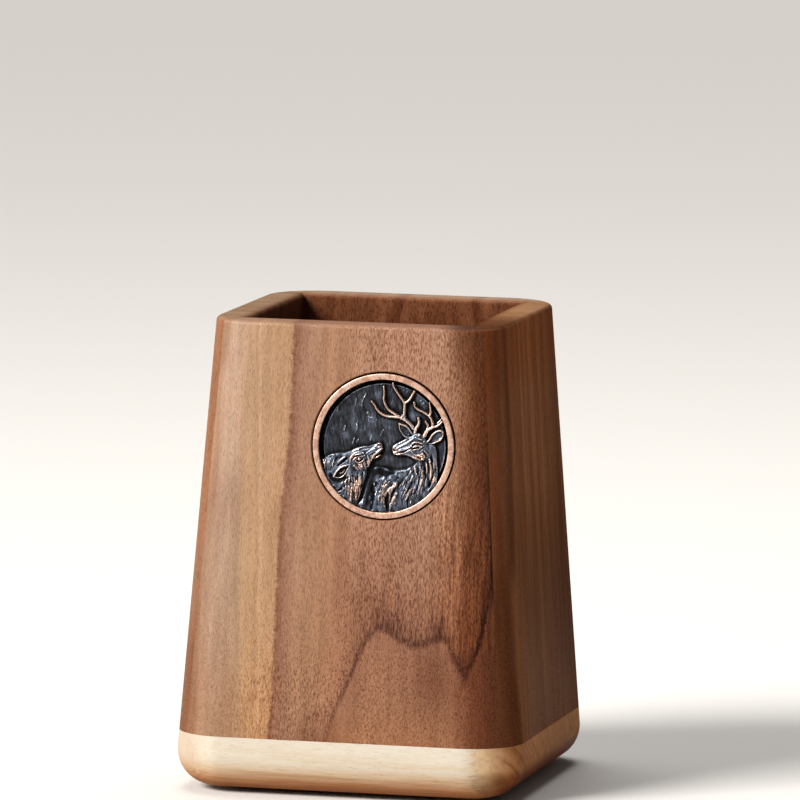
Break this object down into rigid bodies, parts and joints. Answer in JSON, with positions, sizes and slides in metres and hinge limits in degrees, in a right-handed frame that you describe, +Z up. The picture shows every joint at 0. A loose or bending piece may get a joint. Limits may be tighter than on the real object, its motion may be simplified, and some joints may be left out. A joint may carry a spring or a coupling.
{
  "type": "wooden desk cup for dip pens and pencils",
  "caption": "Square walnut desk cup for pens, leaning in to a thick rim, on a rounded beech base, with a round metal relief medallion let into the front.",
  "frame": {"origin": "on the table, at the middle of the four felt feet", "axes": "+Z up, the front board with the medallion faces -Y, +X to the right of someone facing the front"},
  "size_m": [0.0906, 0.0906, 0.121],
  "materials": {
    "walnut": "American walnut, sanded and oiled, satin",
    "beech": "steamed beech, sanded and oiled, satin",
    "copper": "brushed copper, satin",
    "bronze": "cast, dark patina, with the high points rubbed back to copper",
    "adhesive": "double-sided film",
    "felt": "dense black felt"
  },
  "bodies": {
    "root": {"front_board": "walnut", "right_board": "walnut", "back_board": "walnut", "left_board": "walnut", "base": "beech", "base_dowels": "beech", "medallion_ring": "copper", "relief_plate": "bronze", "medallion_adhesive": "adhesive", "feet": "felt"}
  },
  "joints": []
}
